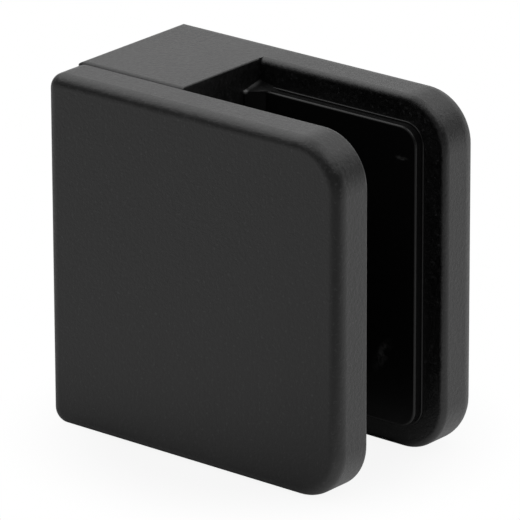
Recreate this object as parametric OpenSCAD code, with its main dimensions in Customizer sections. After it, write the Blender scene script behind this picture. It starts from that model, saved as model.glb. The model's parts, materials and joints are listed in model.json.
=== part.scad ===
// Square clamp for a glass infill panel. A die-cast body with a web and a rear jaw is
// bolted to a post. A front cover closes on the web, drawn up by two countersunk screws
// from behind, and a rubber gasket on each jaw grips the panel.
//
// Frame: X runs from the post face into the panel slot, Y from front to back and Z up.
// The origin is the centre of the fixing bore's mouth on the post face, which is also the
// middle of the slot's width. All sizes are in millimetres.

/* [Overall] */
// Width from the post face to the open edge
clamp_w = 45; // [42:1:70]
// Height
clamp_h = 45; // [44:1:80]

/* [Plates and slot] */
// Thickness of the front cover
cover_t = 5.7; // [5.5:0.1:9]
// Thickness of the rear jaw
jaw_t = 6.5; // [5.6:0.1:10]
// Width of the open gap between the two jaws
gap = 14.6; // [14.4:0.1:22]
// Width of the solid web beside the post
web_w = 16.6; // [15.5:0.1:22]

/* [Rounded edges] */
// Corner radius of both plates on the open side
open_corner_r = 6.4; // [3:0.1:9]
// Corner radius of the cover on the post side
cover_corner_r = 2; // [1.8:0.1:5]
// Corner radius of the body on the post side
body_corner_r = 1.1; // [0.5:0.1:5]
// Rounding of the cover's front edge
front_edge_r = 1.5; // [0.3:0.1:1.8]
// Rounding of the body's back edge
back_edge_r = 2.5; // [0.3:0.1:2.8]
// Rounding of the body's upright edge between the back and the post face
post_edge_r = 3.5; // [0.3:0.1:3.6]
// Rounding of the cover and web edges that meet at the parting line
seam_r = 0.6; // [0.1:0.1:1.2]
// Rounding of the rear jaw's inner edge
jaw_edge_r = 0.8; // [0.1:0.1:1.5]
// Rounding of the web's upright edges in the slot
web_edge_r = 0.2; // [0.1:0.1:1.2]

/* [Fixing bore] */
// Bore through the web for the screw into the post
fixing_bore_d = 8.5; // [5:0.1:8.8]
// Counterbore that takes the head of that screw
fixing_head_d = 13.6; // [9.5:0.1:13.6]
// Depth of the counterbore from the slot side
fixing_head_depth = 8.6; // [2:0.1:11]
// Bevel on the counterbore's mouth
fixing_bevel = 0.3; // [0.1:0.1:0.3]

/* [Clamping screws] */
// Thread diameter
screw_d = 6; // [4:1:6]
// Distance between the two screws
screw_spacing = 26; // [24.5:0.5:28]
// Diameter of the countersunk head
head_d = 12; // [9:0.1:12]
// Height of the head's straight rim
head_rim = 0.3; // [0.1:0.1:0.6]
// Depth of the head's top below the back of the jaw
head_sink = 0.3; // [0.1:0.1:0.8]
// Size of the hexagon key
key_af = 4; // [2:0.5:4]
// Depth of the hexagon socket
key_depth = 2.3; // [1:0.1:2.6]
// Bevel at the screw's tip
tip_bevel = 0.7; // [0.2:0.1:1.2]
// Metal left in front of each tapped hole
front_wall = 3.7; // [0.8:0.1:4]
// Space between the screw's tip and the end of its hole
tip_gap = 0.8; // [0.2:0.1:1.2]

/* [Guide bosses] */
// Diameter of the tapped bosses behind the cover
boss_d = 10; // [8.5:0.1:10.5]
// Height of the bosses
boss_h = 5; // [2:0.1:5]
// Bevel on the end of each boss
boss_bevel = 0.5; // [0.1:0.1:0.8]

/* [Gaskets] */
// Height of the pad above the jaw
pad_t = 1.45; // [1:0.05:2.5]
// Distance from the pad to the jaw's outer edges
pad_margin = 3.4; // [2:0.1:6]
// Corner radius of the pad
pad_corner_r = 2.4; // [0.6:0.1:5]
// Rounding of the pad's front edge
pad_edge_r = 0.3; // [0.05:0.05:0.5]
// Width of the thin rim round the foot of the pad
rim_w = 0.25; // [0.1:0.05:0.6]
// Thickness of that rim
rim_t = 0.3; // [0.2:0.05:0.6]
// Rounding of that rim
rim_r = 0.15; // [0.05:0.05:0.15]
// Height of the lip along the web above the pad
lip_step = 1.75; // [0.8:0.05:3]
// Width of the lip's ramp at the pad
lip_w = 2.1; // [1:0.1:4]
// Thickness of the lip at its tip
lip_tip = 0.25; // [0.1:0.05:0.6]
// Height of the raised corner at each end of the lip
lip_rise = 0.7; // [0.2:0.1:1.2]
// Diameter of the pegs that hold the gasket in its jaw
peg_d = 4; // [2:0.1:5]
// Length of the pegs
peg_len = 2.6; // [1:0.1:3]
// Distance between the two pegs
peg_spacing = 22; // [10:1:26]

/* [Clearances] */
// Play round the screws in the body, on the radius
screw_play = 0.2; // [0.1:0.05:0.4]
// Play between the screw's thread and the tapped hole, on the radius
thread_play = 0.05; // [0.02:0.01:0.1]
// Gap between the head's cone and its seat, along the screw
seat_play = 0.1; // [0.05:0.05:0.3]
// Play round the bosses and past their ends
boss_play = 0.2; // [0.1:0.05:0.4]
// Play round the gasket pegs and past their ends
peg_play = 0.15; // [0.05:0.05:0.3]

/* [Hidden] */
$fn = 96;
// how far a cutter reaches past a face
past = 1;
// how far a piece reaches into the metal that it grows from
root = 1;
// places of the front, the parting line, the rear jaw's inner face and the back
front_y = -gap / 2 - cover_t;
parting_y = -gap / 2;
jaw_y = gap / 2;
back_y = jaw_y + jaw_t;
body_t = back_y - parting_y;
// width of the strips that carry the rounded edges, a little wider than the widest rounding
strip_flat = 0.5;
strip_w = max(front_edge_r, back_edge_r, seam_r, jaw_edge_r) + strip_flat;
// fixing bore
fixing_seat_x = web_w - fixing_head_depth;
// clamping screws, which stand in the middle of the web
screw_x = web_w / 2;
screw_r = screw_d / 2;
head_r = head_d / 2;
head_top_y = back_y - head_sink;
cone_top_y = head_top_y - head_rim;
cone_foot_y = cone_top_y - (head_r - screw_r);
hole_end_y = front_y + front_wall;
tip_y = hole_end_y + tip_gap;
key_r = key_af / 2 / cos(30);
boss_r = boss_d / 2;
// gaskets, drawn with the pad's height along Z
pad_w = clamp_w - pad_margin - web_w;
pad_h = clamp_h - 2 * pad_margin;
lip_h = pad_t + lip_step;
ramp_angle = atan2(lip_step, lip_w - lip_tip);
ramp_foot = lip_w + pad_t / tan(ramp_angle);
peg_x = web_w + pad_w / 2;

cast_color = "#26272a";
rubber_color = "#121212";
screw_color = "#4a4c50";

// ---- general shapes ----

// Stands a shape up, so that what was drawn along Y points up and what was drawn along Z
// points to the front, starting from the plane y.
module stand(y) {
    translate([0, y, 0]) rotate([90, 0, 0]) children();
}

// Turns children from the Z axis to the Y axis, at the place of each clamping screw that
// sides lists: 1 is the upper one and -1 the lower one.
module at_screws(sides = [1, -1]) {
    for (side = sides)
        translate([screw_x, 0, side * screw_spacing / 2]) rotate([-90, 0, 0]) children();
}

// Waste outside a rounding of radius r, whose middle lies on the origin, beyond +X and -Y.
module corner_waste(r) {
    difference() {
        translate([0, -r - past]) square(r + past);
        circle(r);
    }
}

// Section through the edge of a plate of thickness t, w wide from the inside out,
// rounded by r_low at the bottom and by r_high at the top.
module edge_section(w, t, r_low, r_high) {
    difference() {
        square([w, t]);
        if (r_low > 0) translate([w - r_low, r_low]) corner_waste(r_low);
        if (r_high > 0) translate([w - r_high, t - r_high]) mirror([0, 1]) corner_waste(r_high);
    }
}

// Straight edge from x0 to x1, whose outside faces +Y at y.
module edge_strip(x0, x1, y, w, t, r_low, r_high) {
    translate([x0, y - w, 0]) rotate([90, 0, 90])
        linear_extrude(x1 - x0) edge_section(w, t, r_low, r_high);
}

// Side of a plate, with its two round corners. The outside faces +X at x where side is 1,
// and -X where it is -1.
module plate_side(x, h, r, side, t, r_low, r_high) {
    for (up = [1, -1])
        translate([x - side * r, up * (h / 2 - r), 0])
            rotate([0, 0, side > 0 ? (up > 0 ? 0 : 270) : (up > 0 ? 90 : 180)])
                rotate_extrude(angle = 90) edge_section(r, t, r_low, r_high);
    translate([x, 0, 0]) rotate([0, 0, side > 0 ? -90 : 90])
        edge_strip(-h / 2 + r, h / 2 - r, 0, r, t, r_low, r_high);
}

// Middle of a plate from x0 to x1, with its top and bottom edges rounded.
module plate_middle(x0, x1, h, t, r_low, r_high) {
    core_h = h - 2 * strip_w + strip_flat;
    translate([x0, -core_h / 2, 0]) cube([x1 - x0, core_h, t]);
    for (turned = [0, 1]) mirror([0, turned, 0])
        edge_strip(x0, x1, h / 2, strip_w, t, r_low, r_high);
}

// Post side of a plate from the post face to x1, with two corners of radius r. Its edges
// are rounded along straight lines, so their rounding may be larger than the corners;
// r_post is the rounding of the upright edge at the bottom.
module post_side(x1, h, r, t, r_low, r_high, r_post) {
    intersection() {
        linear_extrude(t) {
            translate([r, -h / 2]) square([x1 - r, h]);
            translate([0, -h / 2 + r]) square([r, h - 2 * r]);
            for (up = [1, -1]) translate([r, up * (h / 2 - r)]) circle(r);
        }
        plate_middle(0, x1, h, t, r_low, r_high);
        rotate([0, 0, 90]) edge_strip(-h / 2, h / 2, 0, x1, t, r_post, r_high);
    }
}

// Cutter that rounds a square edge along Z, with the metal on its -X and -Y sides.
module edge_cutter(len, r) {
    linear_extrude(len) difference() {
        translate([-r, -r]) square(r + past);
        translate([-r, -r]) circle(r);
    }
}

// Blind holes for the pegs of a gasket that lies on the plane y and faces the front.
module peg_holes() {
    for (side = [-1, 1])
        translate([peg_x, side * peg_spacing / 2, -peg_len - peg_play])
            cylinder(h = peg_len + peg_play + past, r = peg_d / 2 + peg_play);
}

// ---- body ----

// Web and rear jaw, cast in one.
module body_casting() {
    post_side(web_w, clamp_h, body_corner_r, body_t, back_edge_r, seam_r, post_edge_r);
    plate_middle(web_w - root, clamp_w - open_corner_r, clamp_h, jaw_t, back_edge_r,
                 jaw_edge_r);
    plate_side(clamp_w, clamp_h, open_corner_r, 1, jaw_t, back_edge_r, jaw_edge_r);
}

// Bore along X for the screw into the post, with the counterbore for its head.
module fixing_bore() {
    bore_r = fixing_bore_d / 2;
    seat_r = fixing_head_d / 2;
    rotate([0, 90, 0]) rotate_extrude() polygon([
        [0, -past], [bore_r, -past], [bore_r, fixing_seat_x], [seat_r, fixing_seat_x],
        [seat_r, web_w - fixing_bevel], [seat_r + fixing_bevel, web_w],
        [seat_r + fixing_bevel, web_w + past], [0, web_w + past]]);
}

// Clearance hole and countersunk seat for one clamping screw, along Z.
module screw_seat() {
    hole_r = screw_r + screw_play;
    mouth_r = head_r + screw_play;
    seat_top = cone_top_y - seat_play + screw_play;
    rotate_extrude() polygon([
        [0, parting_y - past], [hole_r, parting_y - past],
        [hole_r, seat_top - (mouth_r - hole_r)], [mouth_r, seat_top],
        [mouth_r, back_y + past], [0, back_y + past]]);
}

// Socket in the web that takes one boss of the cover, along Z.
module boss_socket() {
    translate([0, 0, parting_y - past])
        cylinder(h = boss_h + boss_play + past, r = boss_r + boss_play);
}

// Rounding of the web's edges inside the slot.
module web_edge_cuts() {
    for (turned = [0, 1]) mirror([0, 0, turned])
        translate([web_w, jaw_y, clamp_h / 2]) rotate([90, 0, 0])
            edge_cutter(gap + past, web_edge_r);
}

module body() {
    color(cast_color) difference() {
        stand(back_y) body_casting();
        fixing_bore();
        at_screws() {
            screw_seat();
            boss_socket();
        }
        web_edge_cuts();
        stand(jaw_y) peg_holes();
    }
}

// ---- front cover ----

// Boss behind the cover, along Z, rooted in the plate.
module boss() {
    rotate_extrude() polygon([
        [0, parting_y - past], [boss_r, parting_y - past],
        [boss_r, parting_y + boss_h - boss_bevel],
        [boss_r - boss_bevel, parting_y + boss_h], [0, parting_y + boss_h]]);
}

// Tapped hole in one boss, along Z.
module tapped_hole() {
    translate([0, 0, hole_end_y])
        cylinder(h = parting_y + boss_h + past - hole_end_y, r = screw_r + thread_play);
}

module front_cover() {
    color(cast_color) difference() {
        union() {
            stand(parting_y) {
                plate_side(0, clamp_h, cover_corner_r, -1, cover_t, seam_r, front_edge_r);
                plate_middle(cover_corner_r, clamp_w - open_corner_r, clamp_h, cover_t,
                             seam_r, front_edge_r);
                plate_side(clamp_w, clamp_h, open_corner_r, 1, cover_t, seam_r,
                           front_edge_r);
            }
            at_screws() boss();
        }
        at_screws() tapped_hole();
        rotate([180, 0, 0]) stand(-parting_y) peg_holes();
    }
}

// ---- gaskets ----

// Slab against the web, from its flat post side to its two round corners.
module gasket_slab(margin, corner, t, r_high) {
    h = pad_h + 2 * margin;
    end_x = web_w + pad_w + margin;
    plate_middle(web_w, end_x - corner, h, t, 0, r_high);
    plate_side(end_x, h, corner, 1, t, 0, r_high);
}

// Lip along the web. Its ramp comes down to the pad, and each end rises into a corner that
// falls away from the web and the jaw to the line of the ramp.
module lip() {
    corner_depth = ramp_foot * sin(ramp_angle);
    rise_rate = lip_rise / corner_depth;
    reach = corner_depth + past;
    cut_len = 4 * ramp_foot;
    difference() {
        rotate([90, 0, 0]) linear_extrude(pad_h + 2 * (lip_rise + past), center = true)
            polygon([[0, 0], [ramp_foot, 0], [lip_tip, lip_h], [0, lip_h]]);
        for (turned = [0, 1]) mirror([0, turned, 0])
            translate([ramp_foot, pad_h / 2, 0]) rotate([0, 90 + ramp_angle, 0])
                linear_extrude(cut_len, center = true)
                    polygon([[-past, -past * rise_rate], [reach, reach * rise_rate],
                             [reach, lip_rise + 2 * past], [-past, lip_rise + 2 * past]]);
    }
}

// Gasket as it lies flat on its jaw, pads and pegs along Z.
module gasket() {
    gasket_slab(0, pad_corner_r, pad_t, pad_edge_r);
    gasket_slab(rim_w, pad_corner_r + rim_w, rim_t, rim_r);
    translate([web_w, 0, 0]) lip();
    for (side = [-1, 1])
        translate([peg_x, side * peg_spacing / 2, -peg_len])
            cylinder(h = peg_len + rim_t, r = peg_d / 2);
}

module rear_gasket() {
    color(rubber_color) stand(jaw_y) gasket();
}

module front_gasket() {
    color(rubber_color) rotate([180, 0, 0]) stand(jaw_y) gasket();
}

// ---- clamping screws ----

// Countersunk screw with a hexagon socket, along Z.
module clamp_screw() {
    difference() {
        rotate_extrude() polygon([
            [0, tip_y], [screw_r - tip_bevel, tip_y], [screw_r, tip_y + tip_bevel],
            [screw_r, cone_foot_y], [head_r, cone_top_y], [head_r, head_top_y],
            [0, head_top_y]]);
        translate([0, 0, head_top_y - key_depth])
            cylinder(h = key_depth + past, r = key_r, $fn = 6);
    }
}

module clamp_screw_upper() {
    color(screw_color) at_screws([1]) clamp_screw();
}

module clamp_screw_lower() {
    color(screw_color) at_screws([-1]) clamp_screw();
}

body();
front_cover();
rear_gasket();
front_gasket();
clamp_screw_upper();
clamp_screw_lower();
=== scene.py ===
"""Glass panel clamp: finishes for its castings, gaskets and screws, and a small studio."""

import json
import math

import bmesh
import bpy
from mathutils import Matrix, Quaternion, Vector


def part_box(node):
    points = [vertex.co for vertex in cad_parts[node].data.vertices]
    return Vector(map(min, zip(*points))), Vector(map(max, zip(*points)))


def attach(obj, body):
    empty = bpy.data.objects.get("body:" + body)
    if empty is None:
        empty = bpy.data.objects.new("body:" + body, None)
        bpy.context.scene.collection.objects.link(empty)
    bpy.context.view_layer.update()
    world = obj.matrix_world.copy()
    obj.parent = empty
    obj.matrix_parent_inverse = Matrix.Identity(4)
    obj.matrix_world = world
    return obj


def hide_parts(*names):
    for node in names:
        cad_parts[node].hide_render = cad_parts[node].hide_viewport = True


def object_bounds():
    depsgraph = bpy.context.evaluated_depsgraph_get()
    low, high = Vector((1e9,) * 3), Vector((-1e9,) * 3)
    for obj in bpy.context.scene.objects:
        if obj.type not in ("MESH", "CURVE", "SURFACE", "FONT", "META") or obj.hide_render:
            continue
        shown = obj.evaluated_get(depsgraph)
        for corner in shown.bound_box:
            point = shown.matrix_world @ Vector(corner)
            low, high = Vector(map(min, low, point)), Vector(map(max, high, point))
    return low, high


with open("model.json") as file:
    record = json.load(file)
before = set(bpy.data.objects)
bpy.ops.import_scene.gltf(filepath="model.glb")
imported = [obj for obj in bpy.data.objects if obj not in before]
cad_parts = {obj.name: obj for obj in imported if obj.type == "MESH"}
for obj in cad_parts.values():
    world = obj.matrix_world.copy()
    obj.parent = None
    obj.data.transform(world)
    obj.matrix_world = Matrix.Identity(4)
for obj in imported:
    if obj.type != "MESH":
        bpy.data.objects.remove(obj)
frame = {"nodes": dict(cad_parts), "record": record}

bl_info = {
    "name": "Glass Panel Clamp",
    "version": (1, 0, 0),
    "blender": (4, 5, 0),
    "location": "View3D > Sidebar > Glass Clamp",
    "description": "Finishes the castings, gaskets and screws of a glass panel clamp",
    "category": "Object",
}

MM = 0.001
ALONG_Y = (-math.pi / 2, 0, 0)
# dusty marks on the rear pad, and a painted highlight at the upper end of its lip, each with
# its middle, half sizes, turn about Y in degrees and strength
PAD_MARKS = (
    ((36.6 * MM, 5.85 * MM, -10.6 * MM), (3 * MM, 1 * MM, 1.1 * MM), -60, 0.16),
    ((39.5 * MM, 5.85 * MM, 15.1 * MM), (1.2 * MM, 1 * MM, 0.35 * MM), 0, 0.14),
)
# painted highlight: pale spots where light from above catches the lip's upper corner and
# crease
LIP_CORNER_HIGHLIGHT = (
    ((16.8 * MM, 4.2 * MM, 19.1 * MM), (0.5 * MM, 0.7 * MM, 0.4 * MM), 0, 0.55),
    ((16.7 * MM, 5.6 * MM, 19.6 * MM), (0.7 * MM, 2.2 * MM, 0.7 * MM), 0, 0.16),
)
CASTINGS = ("body", "front_cover")
GASKETS = ("rear_gasket", "front_gasket")
SCREWS = {"upper": "clamp_screw_upper", "lower": "clamp_screw_lower"}
SLOT_COLORS = {slot["slot"]: slot["base_color"] for slot in frame["record"]["materials"]}
CAD_LOW, CAD_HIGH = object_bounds()
SCREW_LOW, SCREW_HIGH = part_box(SCREWS["upper"])
# places and sizes of the two lamps
TOP_LAMP_PLACE, TOP_LAMP_SIZE = (0.35, 0, 0.75), (0.7, 0.7)
BACK_LAMP_PLACE, BACK_LAMP_SIZE = (0.25, 0.6, 0.6), (0.6, 0.5)
FLOOR_WIDTH = 8
WHITE = (1, 1, 1, 1)
# sides of a round screw and steps of one turn of its thread
ROUND_SIDES = 64
THREAD_STEPS = 48


# ---- shader values as Python sums ----


class Wire:
    """A shader value that can be used in Python sums, which add its Math nodes."""

    def __init__(self, shader, socket):
        self.shader, self.socket = shader, socket

    def math(self, operation, *values):
        """Adds a Math node of that operation on the values."""
        inputs = dict(enumerate(values))
        return self.shader.node("ShaderNodeMath", {"operation": operation}, inputs)

    def __add__(self, other):
        return self.math("ADD", self, other)

    def __radd__(self, other):
        return self.math("ADD", other, self)

    def __sub__(self, other):
        return self.math("SUBTRACT", self, other)

    def __rsub__(self, other):
        return self.math("SUBTRACT", other, self)

    def __mul__(self, other):
        return self.math("MULTIPLY", self, other)

    def __rmul__(self, other):
        return self.math("MULTIPLY", other, self)

    def __neg__(self):
        return self * -1

    def root(self):
        """Square root."""
        return self.math("SQRT", self)

    def larger(self, other):
        """The larger one of two values."""
        return self.math("MAXIMUM", self, other)

    def above(self, low, high):
        """0 up to low, 1 from high on, and a smooth step between them."""
        settings = {"interpolation_type": "SMOOTHSTEP"}
        inputs = {"Value": self, "From Min": low, "From Max": high}
        return self.shader.node("ShaderNodeMapRange", settings, inputs)


class Shader:
    """Node tree of one material or world, emptied before it is filled."""

    def __init__(self, owner):
        owner.use_nodes = True
        self.owner, self.tree = owner, owner.node_tree
        self.tree.nodes.clear()

    def node(self, kind, settings=None, inputs=None, output=0):
        """Adds a node, sets its settings and then its sockets, and returns one output."""
        made = self.tree.nodes.new(kind)
        for name, value in (settings or {}).items():
            setattr(made, name, value)
        for name, value in (inputs or {}).items():
            if isinstance(value, Wire):
                self.tree.links.new(value.socket, made.inputs[name])
            else:
                made.inputs[name].default_value = value
        return Wire(self, made.outputs[output])

    def place(self):
        """Place on the piece, in its own coordinates."""
        return self.node("ShaderNodeTexCoord", output="Object")

    def seen_by(self, *rays):
        """1 for rays of these kinds."""
        return sum(self.node("ShaderNodeLightPath", output=f"Is {ray} Ray") for ray in rays)

    def light(self, kind, level):
        """White light of one level, as an Emission or a Background."""
        return self.node("ShaderNode" + kind, {}, {"Color": WHITE, "Strength": level})

    def blend(self, share, first, second):
        """First surface or light where the share is 0, and the second where it is 1."""
        return self.node("ShaderNodeMixShader", {}, {0: share, 1: first, 2: second})

    def axis(self, place, name):
        """One coordinate, X, Y or Z, of a place."""
        return self.node("ShaderNodeSeparateXYZ", {}, {"Vector": place}, output=name)

    def spot(self, centre, half_sizes, turn):
        """1 in the middle of an ellipsoid, falling to 0 at its skin."""
        inputs = {"Vector": self.place(), "Location": centre, "Rotation": (0, turn, 0),
                  "Scale": half_sizes}
        inside = self.node("ShaderNodeMapping", {"vector_type": "TEXTURE"}, inputs)
        length = self.node("ShaderNodeVectorMath", {"operation": "LENGTH"}, {0: inside},
                           output="Value")
        return (1 - length).above(0, 0.8)

    def noise(self, place, size, detail=2.0, roughness=0.5):
        """Smooth noise whose features are about that size in metres."""
        inputs = {"Vector": place, "Scale": 1 / size, "Detail": detail, "Roughness": roughness}
        return self.node("ShaderNodeTexNoise", {}, inputs)

    def tint(self, share, dark, light):
        """Colour between dark and light by a share."""
        inputs = {"Factor": share, "A": (*dark, 1), "B": (*light, 1)}
        return self.node("ShaderNodeMix", {"data_type": "RGBA"}, inputs, output="Result")

    def bump(self, height, depth, strength=1):
        """Normal bent by a height, where a height of 1 stands depth above 0."""
        inputs = {"Height": height, "Distance": depth, "Strength": strength}
        return self.node("ShaderNodeBump", {}, inputs)

    def surface(self, **sockets):
        """Principled surface with these sockets, led to the output."""
        named = {name.replace("_", " "): value for name, value in sockets.items()}
        self.end(self.node("ShaderNodeBsdfPrincipled", {}, named))

    def end(self, shader):
        """Leads a shader to the output."""
        world = isinstance(self.owner, bpy.types.World)
        kind = "ShaderNodeOutputWorld" if world else "ShaderNodeOutputMaterial"
        self.tree.links.new(shader.socket, self.tree.nodes.new(kind).inputs["Surface"])


def scaled(color, share):
    """A colour made lighter or darker."""
    return tuple(c * share for c in color)


def powder_coat(look):
    """Satin black powder coat: fine grain, pale specks as painted glints, and a faint orange
    peel.
    """
    material = bpy.data.materials.new("powder_coat_black")
    shader = Shader(material)
    place = shader.place()
    grain = shader.noise(place, look.grain_size, detail=4, roughness=0.75)
    peel = shader.noise(place, look.peel_size, detail=1)
    cloud = shader.noise(place, look.cloud_size)
    # painted glints: sparse pale specks in the base colour stand in for the coat's sparkle
    specks = shader.noise(place, look.painted_glint_size, detail=1).above(0.62, 0.74)
    share = grain.above(0.3, 0.75) * 0.2 + specks * 0.55 + (cloud - 0.5) * 0.25
    shader.surface(
        Base_Color=shader.tint(share, scaled(look.color, 0.2), scaled(look.color, 6)),
        Roughness=look.roughness + (grain - 0.5) * 0.3 + (cloud - 0.5) * 0.08,
        Normal=shader.bump(grain * 0.85 + peel * 0.15, look.grain_depth),
    )
    return material


def rubber(look):
    """Matt moulded rubber with dusty handling marks, and a painted highlight at its lip's
    corner.
    """
    material = bpy.data.materials.new("gasket_rubber")
    shader = Shader(material)
    place = shader.place()
    skin = shader.noise(place, look.skin_size, detail=3, roughness=0.6)
    waves = shader.noise(place, look.wave_size, detail=1)
    dust = shader.noise(place, look.dust_size, detail=4, roughness=0.65)
    # the corner spots are a painted highlight: pale colour where light catches the lip's
    # corner
    marks, corner = (sum(shader.spot(middle, half_sizes, math.radians(turn)) * strength
                         for middle, half_sizes, turn, strength in places)
                     for places in (PAD_MARKS, LIP_CORNER_HIGHLIGHT))
    # dust marks on the pad plus the painted highlight at the lip's corner
    dust_and_highlight = marks * dust.above(0.4, 0.6) + corner
    shader.surface(
        Base_Color=shader.tint(dust_and_highlight, look.color, look.mark_and_highlight_color),
        Specular_IOR_Level=look.shine,
        Roughness=look.roughness + dust_and_highlight * 0.3 + (skin - 0.5) * 0.1,
        Normal=shader.bump(skin * 0.35 + waves * 0.65, look.skin_depth),
    )
    return material


def dark_steel(look):
    """Black-finished steel with a fine grain, paler and smoother where it is worn."""
    material = bpy.data.materials.new("screw_dark_steel")
    shader = Shader(material)
    place = shader.place()
    fine = shader.noise(place, look.grain_size)
    worn = shader.noise(place, look.worn_size, detail=4, roughness=0.6).above(0.58, 0.75)
    shader.surface(
        Base_Color=shader.tint(worn, look.color, scaled(look.color, 1.7)),
        Metallic=0.9,
        Roughness=look.roughness + (fine - 0.5) * 0.16 - worn * 0.06,
        Normal=shader.bump(fine, look.grain_depth, strength=0.6),
    )
    return material


# ---- modelling by hand ----


def deselect():
    """Leaves edit mode and deselects everything."""
    if bpy.context.mode != "OBJECT":
        bpy.ops.object.mode_set(mode="OBJECT")
    bpy.ops.object.select_all(action="DESELECT")


def only(piece):
    """Deselects everything else and makes the piece active."""
    deselect()
    piece.select_set(True)
    bpy.context.view_layer.objects.active = piece


def settle(piece):
    """Puts the piece's place and turn into its mesh."""
    only(piece)
    bpy.ops.object.transform_apply(location=True, rotation=True, scale=True)


def primitive(name, add, **settings):
    """Adds one primitive at its size and place, named, with its place in its mesh."""
    deselect()
    add(**settings)
    piece = bpy.context.active_object
    piece.name = piece.data.name = name
    settle(piece)
    return piece


def pick_faces(piece, chosen):
    """In edit mode, selects the faces that chosen accepts by middle and normal."""
    bpy.ops.object.mode_set(mode="EDIT")
    bpy.ops.mesh.select_mode(type="FACE")
    bpy.ops.mesh.select_all(action="DESELECT")
    mesh = bmesh.from_edit_mesh(piece.data)
    for face in mesh.faces:
        face.select_set(bool(chosen(face.calc_center_median(), face.normal)))
    bmesh.update_edit_mesh(piece.data)


def pick_edges(piece, chosen):
    """In edit mode, selects the edges that chosen accepts by their two ends."""
    bpy.ops.object.mode_set(mode="EDIT")
    bpy.ops.mesh.select_mode(type="EDGE")
    bpy.ops.mesh.select_all(action="DESELECT")
    mesh = bmesh.from_edit_mesh(piece.data)
    for edge in mesh.edges:
        edge.select_set(bool(chosen(*(v.co for v in edge.verts))))
    bmesh.update_edit_mesh(piece.data)


def apply_modifier(piece, kind, **settings):
    """Adds a modifier, sets it and applies it."""
    only(piece)
    modifier = piece.modifiers.new(kind.lower(), kind)
    for name, value in settings.items():
        setattr(modifier, name, value)
    bpy.ops.object.modifier_apply(modifier=modifier.name)


def cut(piece, cutter):
    """Takes the cutter's solid out of the piece, and removes the cutter."""
    apply_modifier(piece, "BOOLEAN", operation="DIFFERENCE", object=cutter, solver="EXACT")
    bpy.data.objects.remove(cutter)


def clean(piece):
    """Merges doubles, turns the faces outwards and shades the round ones smooth."""
    only(piece)
    bpy.ops.object.mode_set(mode="EDIT")
    bpy.ops.mesh.select_all(action="SELECT")
    bpy.ops.mesh.remove_doubles(threshold=0.001 * MM)
    bpy.ops.mesh.normals_make_consistent(inside=False)
    bpy.ops.object.mode_set(mode="OBJECT")
    bpy.ops.object.shade_smooth_by_angle(angle=math.radians(30))


def coat(piece, material):
    """Gives the whole piece one material."""
    piece.data.materials.clear()
    piece.data.materials.append(material)


def at_y(plane, near=0.02 * MM):
    """Test for what lies on one plane along Y."""
    return lambda *points: all(abs(p.y - plane) < near for p in points)


def screw_blank(sizes, name):
    """Shank, cone and rim of one countersunk screw, turned on its axis."""
    axis_x, axis_z = (SCREW_LOW.x + SCREW_HIGH.x) / 2, (SCREW_LOW.z + SCREW_HIGH.z) / 2
    shank_r, head_r = sizes.thread_d / 2, (SCREW_HIGH.x - SCREW_LOW.x) / 2
    tip_y, top_y = SCREW_LOW.y, SCREW_HIGH.y
    cone_top = top_y - sizes.head_rim
    cone_foot = cone_top - (head_r - shank_r)
    blank = primitive(
        name, bpy.ops.mesh.primitive_cylinder_add, vertices=ROUND_SIDES,
        radius=shank_r, depth=cone_foot - tip_y, rotation=ALONG_Y,
        location=(axis_x, (tip_y + cone_foot) / 2, axis_z))
    pick_faces(blank, lambda middle, normal: normal.y > 0.9)
    move = {"value": (0, cone_top - cone_foot, 0)}
    bpy.ops.mesh.extrude_region_move(TRANSFORM_OT_translate=move)
    grow = head_r / shank_r
    bpy.ops.transform.resize(value=(grow, 1, grow))
    bpy.ops.mesh.extrude_region_move(
        TRANSFORM_OT_translate={"value": (0, sizes.head_rim, 0)})
    pick_edges(blank, at_y(tip_y))
    bpy.ops.mesh.bevel(offset=sizes.tip_bevel, segments=1, affect="EDGES")
    pick_edges(blank, at_y(top_y))
    bpy.ops.mesh.bevel(offset=sizes.rim_round, segments=3, affect="EDGES")
    return blank, Vector((axis_x, 0, axis_z)), cone_foot


def thread_groove(sizes, middle, cone_foot):
    """Helical groove cutter, from past the screw's tip to just below its cone."""
    pitch, past = sizes.pitch, 0.1 * MM
    mouth_r, root_r = sizes.thread_d / 2 + past, sizes.thread_d / 2 - sizes.thread_depth
    mouth_half, root_half = pitch * 0.46, pitch * 0.1
    start = SCREW_LOW.y - pitch
    turns = math.floor((cone_foot - sizes.run_out - start) / pitch)
    groove = primitive("thread_groove", bpy.ops.mesh.primitive_plane_add, size=1)
    for vertex in groove.data.vertices:
        radius, half = (mouth_r, mouth_half) if vertex.co.x > 0 else (root_r, root_half)
        vertex.co = (radius, 0, math.copysign(half, vertex.co.y))
    apply_modifier(groove, "SCREW", axis="Z", screw_offset=pitch, iterations=turns,
                   angle=2 * math.pi, steps=THREAD_STEPS, render_steps=THREAD_STEPS,
                   use_merge_vertices=False)
    only(groove)
    bpy.ops.object.mode_set(mode="EDIT")
    bpy.ops.mesh.select_mode(type="EDGE")
    bpy.ops.mesh.select_all(action="DESELECT")
    bpy.ops.mesh.select_non_manifold(extend=False)
    bpy.ops.mesh.edge_face_add()
    bpy.ops.mesh.select_all(action="SELECT")
    bpy.ops.mesh.normals_make_consistent(inside=False)
    groove.rotation_euler = ALONG_Y
    groove.location = (middle.x, start, middle.z)
    settle(groove)
    return groove


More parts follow.
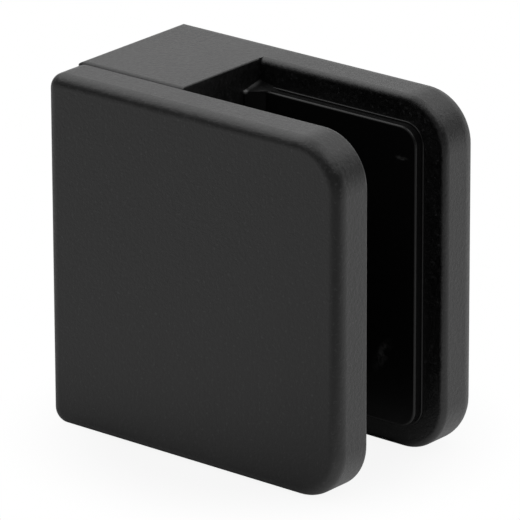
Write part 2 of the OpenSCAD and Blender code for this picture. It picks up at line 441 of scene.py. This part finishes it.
def hexagon_cutter(sizes, middle):
    """Hexagon socket cutter whose floor ends in a shallow drilled cone."""
    past, floor_edge, point = 1 * MM, 0.25 * MM, 0.12
    key_r = sizes.key_af / 2 / math.cos(math.pi / 6)
    cutter = primitive(
        "hexagon_cutter", bpy.ops.mesh.primitive_cylinder_add, vertices=6, radius=key_r,
        depth=sizes.key_depth + past, rotation=ALONG_Y,
        location=(middle.x, SCREW_HIGH.y + (past - sizes.key_depth) / 2, middle.z))
    pick_faces(cutter, lambda centre, normal: normal.y < -0.9)
    bpy.ops.mesh.inset(thickness=floor_edge)
    drop = {"value": (0, -sizes.key_cone, 0)}
    bpy.ops.mesh.extrude_region_move(TRANSFORM_OT_translate=drop)
    bpy.ops.transform.resize(value=(point, 1, point))
    bpy.ops.object.mode_set(mode="OBJECT")
    return cutter


def mouth_cutter(sizes, middle):
    """Cone that bevels the socket's mouth."""
    past, margin = 0.5 * MM, 0.12 * MM
    mouth_r = sizes.key_af / 2 / math.cos(math.pi / 6) + margin
    depth = sizes.mouth_bevel + past
    return primitive(
        "mouth_cutter", bpy.ops.mesh.primitive_cone_add, vertices=ROUND_SIDES,
        radius1=mouth_r - sizes.mouth_bevel, radius2=mouth_r + past, depth=depth,
        rotation=ALONG_Y, location=(middle.x, SCREW_HIGH.y + past - depth / 2, middle.z))


# ---- sizes and colours ----


class CoatingLook(bpy.types.PropertyGroup):
    """Powder coat of the castings"""

    color: bpy.props.FloatVectorProperty(
        name="Colour", description="Base colour of the powder coat", subtype="COLOR",
        default=(0.0047, 0.0047, 0.0048), min=0, max=1)
    roughness: bpy.props.FloatProperty(
        name="Roughness", description="Mean roughness of the coat", default=0.35,
        min=0.05, max=1, subtype="FACTOR")
    grain_size: bpy.props.FloatProperty(
        name="Grain size", description="Size of the fine grain", default=0.5 * MM,
        min=0.05 * MM, max=2 * MM, unit="LENGTH", precision=5)
    peel_size: bpy.props.FloatProperty(
        name="Orange peel size", description="Size of the slow waves in the coat",
        default=0.9 * MM, min=0.2 * MM, max=5 * MM, unit="LENGTH", precision=5)
    grain_depth: bpy.props.FloatProperty(
        name="Grain depth", description="Height of the grain and the waves together",
        default=0.08 * MM, min=0, max=0.2 * MM, unit="LENGTH", precision=6)
    cloud_size: bpy.props.FloatProperty(
        name="Cloud size", description="Size of the faint lighter and darker patches",
        default=6 * MM, min=1 * MM, max=20 * MM, unit="LENGTH", precision=5)
    # size of the pale specks that are painted glints
    painted_glint_size: bpy.props.FloatProperty(
        name="Speck size", description="Size of the pale specks", default=0.42 * MM,
        min=0.1 * MM, max=2 * MM, unit="LENGTH", precision=5)


class RubberLook(bpy.types.PropertyGroup):
    """Moulded rubber of the gaskets"""

    color: bpy.props.FloatVectorProperty(
        name="Colour", description="Base colour of the rubber", subtype="COLOR",
        default=(0.0032, 0.0032, 0.0033), min=0, max=1)
    # also the colour of the painted highlight at the lip's upper corner
    mark_and_highlight_color: bpy.props.FloatVectorProperty(
        name="Mark colour", description="Colour of the dusty handling marks",
        subtype="COLOR", default=(0.3, 0.3, 0.3), min=0, max=1)
    roughness: bpy.props.FloatProperty(
        name="Roughness", description="Mean roughness of the rubber", default=0.3,
        min=0.05, max=1, subtype="FACTOR")
    shine: bpy.props.FloatProperty(
        name="Shine", description="Strength of the rubber's reflections", default=0.27,
        min=0, max=1, subtype="FACTOR")
    skin_size: bpy.props.FloatProperty(
        name="Skin grain", description="Size of the fine grain of the mould",
        default=0.16 * MM, min=0.05 * MM, max=2 * MM, unit="LENGTH", precision=5)
    skin_depth: bpy.props.FloatProperty(
        name="Skin depth", description="Height of the grain and slow waves together",
        default=0.03 * MM, min=0, max=0.3 * MM, unit="LENGTH", precision=6)
    wave_size: bpy.props.FloatProperty(
        name="Wave size", description="Size of the slow waves in the skin",
        default=2.6 * MM, min=0.5 * MM, max=10 * MM, unit="LENGTH", precision=5)
    dust_size: bpy.props.FloatProperty(
        name="Dust size", description="Size of the patches of dust in the marks",
        default=1.1 * MM, min=0.2 * MM, max=5 * MM, unit="LENGTH", precision=5)


class ScrewLook(bpy.types.PropertyGroup):
    """Sizes and colour of the two countersunk clamping screws"""

    color: bpy.props.FloatVectorProperty(
        name="Colour", description="Base colour of the dark steel", subtype="COLOR",
        default=SLOT_COLORS["screws"], min=0, max=1)
    roughness: bpy.props.FloatProperty(
        name="Roughness", description="Mean roughness of the steel", default=0.36,
        min=0.05, max=1, subtype="FACTOR")
    grain_size: bpy.props.FloatProperty(
        name="Grain size", description="Size of the fine grain", default=0.15 * MM,
        min=0.05 * MM, max=1 * MM, unit="LENGTH", precision=5)
    grain_depth: bpy.props.FloatProperty(
        name="Grain depth", description="Height of the fine grain", default=0.012 * MM,
        min=0, max=0.1 * MM, unit="LENGTH", precision=6)
    worn_size: bpy.props.FloatProperty(
        name="Wear size", description="Size of the worn patches", default=1.2 * MM,
        min=0.2 * MM, max=5 * MM, unit="LENGTH", precision=5)
    thread_d: bpy.props.FloatProperty(
        name="Thread diameter", description="Outer diameter of the thread",
        default=6 * MM, min=4 * MM, max=8 * MM, unit="LENGTH")
    pitch: bpy.props.FloatProperty(
        name="Pitch", description="Travel of the thread in one turn", default=1 * MM,
        min=0.5 * MM, max=1.5 * MM, unit="LENGTH")
    thread_depth: bpy.props.FloatProperty(
        name="Thread depth", description="Depth of the groove", default=0.58 * MM,
        min=0.2 * MM, max=1 * MM, unit="LENGTH")
    run_out: bpy.props.FloatProperty(
        name="Plain length", description="Plain shank between the thread and the cone",
        default=1.2 * MM, min=0, max=5 * MM, unit="LENGTH")
    head_rim: bpy.props.FloatProperty(
        name="Rim height", description="Height of the head's straight rim",
        default=0.3 * MM, min=0.1 * MM, max=1 * MM, unit="LENGTH")
    rim_round: bpy.props.FloatProperty(
        name="Rim rounding", description="Rounding of the head's upper edge",
        default=0.14 * MM, min=0.05 * MM, max=0.3 * MM, unit="LENGTH")
    tip_bevel: bpy.props.FloatProperty(
        name="Tip bevel", description="Bevel at the screw's tip", default=0.7 * MM,
        min=0.1 * MM, max=1.5 * MM, unit="LENGTH")
    key_af: bpy.props.FloatProperty(
        name="Key size", description="Width across flats of the hexagon socket",
        default=4 * MM, min=2 * MM, max=5 * MM, unit="LENGTH")
    key_depth: bpy.props.FloatProperty(
        name="Key depth", description="Depth of the hexagon socket", default=2.3 * MM,
        min=1 * MM, max=3 * MM, unit="LENGTH")
    key_cone: bpy.props.FloatProperty(
        name="Drilled cone", description="Depth of the cone below the socket's floor",
        default=0.5 * MM, min=0.1 * MM, max=1 * MM, unit="LENGTH")
    mouth_bevel: bpy.props.FloatProperty(
        name="Mouth bevel", description="Bevel round the socket's mouth",
        default=0.22 * MM, min=0.05 * MM, max=0.5 * MM, unit="LENGTH")


class StageLook(bpy.types.PropertyGroup):
    """Floor, lamps and camera"""

    azimuth: bpy.props.FloatProperty(
        name="Camera azimuth", description="Turn of the camera round the clamp",
        default=math.radians(39.387), subtype="ANGLE")
    elevation: bpy.props.FloatProperty(
        name="Camera elevation", description="Height angle of the camera",
        default=math.radians(20.093), subtype="ANGLE")
    roll: bpy.props.FloatProperty(
        name="Camera roll", description="Turn of the camera about its own axis",
        default=math.radians(-0.214), subtype="ANGLE")
    distance: bpy.props.FloatProperty(
        name="Camera distance", description="Distance from the camera to its target",
        default=760.52 * MM, min=0.1, max=5, unit="LENGTH")
    lens: bpy.props.FloatProperty(
        name="Lens", description="Focal length in millimetres", default=437.19, min=10)
    front_level: bpy.props.FloatProperty(
        name="Front level", description="Level of the room in front of the clamp",
        default=0.1, min=0, max=2)
    back_level: bpy.props.FloatProperty(
        name="Back level", description="Level of the bright wall behind the clamp",
        default=0.89, min=0, max=2)
    above_level: bpy.props.FloatProperty(
        name="Above level", description="Level of the wide soft light above, to the left",
        default=2.1, min=0, max=5)
    overhead_share: bpy.props.FloatProperty(
        name="Overhead share", description="Share of the back level that comes from above",
        default=0.5, min=0, max=1, subtype="FACTOR")
    corner_shade: bpy.props.FloatProperty(
        name="Corner shade", description="Share by which the right side of the room is dimmer",
        default=0.6, min=0, max=1, subtype="FACTOR")
    shadow_share: bpy.props.FloatProperty(
        name="Shadow share", description="Share of the shadow that shows under the clamp",
        default=0.1, min=0, max=1, subtype="FACTOR")
    top_power: bpy.props.FloatProperty(
        name="Top lamp", description="Power of the lamp above, in watts", default=2.2,
        min=0, max=100)
    back_power: bpy.props.FloatProperty(
        name="Back lamp", description="Power of the lamp behind and above, in watts",
        default=0.5, min=0, max=100)
    right_glow: bpy.props.FloatProperty(
        name="Right glow", description="White of the floor's right side in reflections",
        default=1, min=0, max=1)
    left_glow: bpy.props.FloatProperty(
        name="Left glow", description="White of the floor's left side in reflections",
        default=0.42, min=0, max=1)
    floor_color: bpy.props.FloatVectorProperty(
        name="Floor colour", description="Colour of the pale floor", subtype="COLOR",
        default=(0.47, 0.47, 0.47), min=0, max=1)


# ---- operators ----


class CLAMP_OT_finish_castings(bpy.types.Operator):
    """Give the body and the front cover their powder coat"""

    bl_idname = "clamp.finish_castings"
    bl_label = "Finish Castings"

    def execute(self, context):
        material = powder_coat(context.scene.clamp_coating)
        for name in CASTINGS:
            frame["nodes"][name].material_slots[0].material = material
        return {"FINISHED"}


class CLAMP_OT_finish_gaskets(bpy.types.Operator):
    """Give the two gaskets their rubber"""

    bl_idname = "clamp.finish_gaskets"
    bl_label = "Finish Gaskets"

    def execute(self, context):
        material = rubber(context.scene.clamp_rubber)
        for name in GASKETS:
            frame["nodes"][name].material_slots[0].material = material
        return {"FINISHED"}


class CLAMP_OT_make_screws(bpy.types.Operator):
    """Model the two countersunk screws with their threads and hexagon sockets"""

    bl_idname = "clamp.make_screws"
    bl_label = "Make Screws"

    def execute(self, context):
        sizes = context.scene.clamp_screws
        upper, middle, cone_foot = screw_blank(sizes, "threaded_screw_upper")
        cut(upper, thread_groove(sizes, middle, cone_foot))
        cut(upper, hexagon_cutter(sizes, middle))
        cut(upper, mouth_cutter(sizes, middle))
        clean(upper)
        coat(upper, dark_steel(sizes))
        lower = upper.copy()
        lower.data = upper.data.copy()
        lower.name = lower.data.name = "threaded_screw_lower"
        context.scene.collection.objects.link(lower)
        lower.location.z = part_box(SCREWS["lower"])[0].z - SCREW_LOW.z
        settle(lower)
        for piece, place in ((upper, "upper"), (lower, "lower")):
            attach(piece, place + "_screw")
            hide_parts(SCREWS[place])
        return {"FINISHED"}


def soft_lamp(name, place, size, target, power):
    """Area lamp that faces the target."""
    towards = target - Vector(place)
    bpy.ops.object.light_add(type="AREA", location=place,
                             rotation=towards.to_track_quat("-Z", "Y").to_euler())
    lamp = bpy.context.active_object
    lamp.name = lamp.data.name = name
    lamp.data.shape, lamp.data.energy = "RECTANGLE", power
    lamp.data.size, lamp.data.size_y = size
    lamp.visible_camera = False


def white_floor(look):
    """Pale floor that looks white, keeps the clamp's shadow and lights it from below."""
    material = bpy.data.materials.new("studio_floor")
    shader = Shader(material)
    plain = shader.node("ShaderNodeBsdfDiffuse", {}, {"Color": (*look.floor_color, 1)})
    place = shader.place()
    x, y = shader.axis(place, "X"), shader.axis(place, "Y")
    # soft-edged parts beside the open side and in front of the cover that glow white in
    # reflections only: painted reflections on the clamp's faces
    right = x.above(CAD_HIGH.x - 8 * MM, CAD_HIGH.x + 4 * MM) * y.above(-45 * MM, -14 * MM)
    left = (CAD_HIGH.x - x).above(-8 * MM, 36 * MM) * (CAD_LOW.y - y).above(-4 * MM, 14 * MM)
    mirrored = right * look.right_glow + left * look.left_glow
    # distance from the clamp's middle, where the shadow fades out
    side = x - CAD_HIGH.x / 2
    clear = (side * side + y * y).root().above(16 * MM, 34 * MM)
    seen = clear * look.shadow_share + (1 - look.shadow_share)
    share = (shader.seen_by("Camera", "Transmission") * seen
             + shader.seen_by("Glossy") * mirrored)
    shader.end(shader.blend(share, plain, shader.light("Emission", 1)))
    return material


def studio_world(scene, look):
    """Dim room in front, bright wall behind, soft light above and a white background."""
    scene.world = bpy.data.worlds.new("studio")
    shader = Shader(scene.world)
    direction = shader.node("ShaderNodeTexCoord", output="Generated")
    x, y, z = (shader.axis(direction, name) for name in "XYZ")
    behind, overhead = y.above(-0.3, 0.7), z.above(0.15, 0.65)
    shade = 1 - x.above(0.1, 0.5) * z.above(-0.04, 0.08) * look.corner_shade
    bright = behind.larger(overhead * look.overhead_share) * shade
    upper_left = z.above(0.45, 0.72) * (-x).above(0.2, 0.5) * (-y).above(-0.7, -0.4)
    front, back, above, white = (
        shader.light("Background", level)
        for level in (look.front_level, look.back_level, look.above_level, 1))
    room = shader.blend(upper_left, shader.blend(bright, front, back), above)
    shader.end(shader.blend(shader.seen_by("Camera", "Transmission"), room, white))


class CLAMP_OT_build_stage(bpy.types.Operator):
    """Set up the floor, the lamps, the background and the camera"""

    bl_idname = "clamp.build_stage"
    bl_label = "Build Stage"

    def execute(self, context):
        scene, look = context.scene, context.scene.clamp_stage
        floor = primitive("studio_floor", bpy.ops.mesh.primitive_plane_add,
                          size=FLOOR_WIDTH, location=(CAD_HIGH.x / 2, 0, CAD_LOW.z))
        coat(floor, white_floor(look))
        target = Vector(((CAD_LOW.x + CAD_HIGH.x) / 2, 0, 0))
        soft_lamp("top_softbox", TOP_LAMP_PLACE, TOP_LAMP_SIZE, target, look.top_power)
        soft_lamp("back_softbox", BACK_LAMP_PLACE, BACK_LAMP_SIZE, target, look.back_power)
        studio_world(scene, look)
        azimuth, elevation = look.azimuth, look.elevation
        back = Vector((math.sin(azimuth) * math.cos(elevation),
                       -math.cos(azimuth) * math.cos(elevation), math.sin(elevation)))
        turn = (-back).to_track_quat("-Z", "Y") @ Quaternion((0, 0, 1), look.roll)
        bpy.ops.object.camera_add(location=target + back * look.distance,
                                  rotation=turn.to_euler())
        camera = context.active_object
        camera.name = "studio_camera"
        camera.data.lens = look.lens
        camera.data.clip_start, camera.data.clip_end = 0.05, 20
        scene.camera = camera
        scene.view_settings.view_transform = "Standard"
        return {"FINISHED"}


class CLAMP_PT_panel(bpy.types.Panel):
    """Sidebar panel with the clamp's pieces"""

    bl_idname = "CLAMP_PT_panel"
    bl_label = "Glass Panel Clamp"
    bl_space_type = "VIEW_3D"
    bl_region_type = "UI"
    bl_category = "Glass Clamp"

    def draw(self, context):
        for operator, group in STEPS:
            box = self.layout.box()
            box.operator(operator.bl_idname)
            settings = getattr(context.scene, group)
            for name in settings.__annotations__:
                box.prop(settings, name)


STEPS = (
    (CLAMP_OT_finish_castings, "clamp_coating"),
    (CLAMP_OT_finish_gaskets, "clamp_rubber"),
    (CLAMP_OT_make_screws, "clamp_screws"),
    (CLAMP_OT_build_stage, "clamp_stage"),
)
GROUPS = {"clamp_coating": CoatingLook, "clamp_rubber": RubberLook,
          "clamp_screws": ScrewLook, "clamp_stage": StageLook}
CLASSES = (*GROUPS.values(), *(operator for operator, _ in STEPS), CLAMP_PT_panel)


def register():
    """Registers the classes and their settings on the scene."""
    for item in CLASSES:
        bpy.utils.register_class(item)
    for name, group in GROUPS.items():
        setattr(bpy.types.Scene, name, bpy.props.PointerProperty(type=group))


def unregister():
    """Takes the settings and the classes away again."""
    for name in GROUPS:
        delattr(bpy.types.Scene, name)
    for item in reversed(CLASSES):
        bpy.utils.unregister_class(item)


def main():
    """Makes everything in order."""
    register()
    bpy.ops.clamp.finish_castings()
    bpy.ops.clamp.finish_gaskets()
    bpy.ops.clamp.make_screws()
    bpy.ops.clamp.build_stage()


if __name__ == "__main__":
    main()
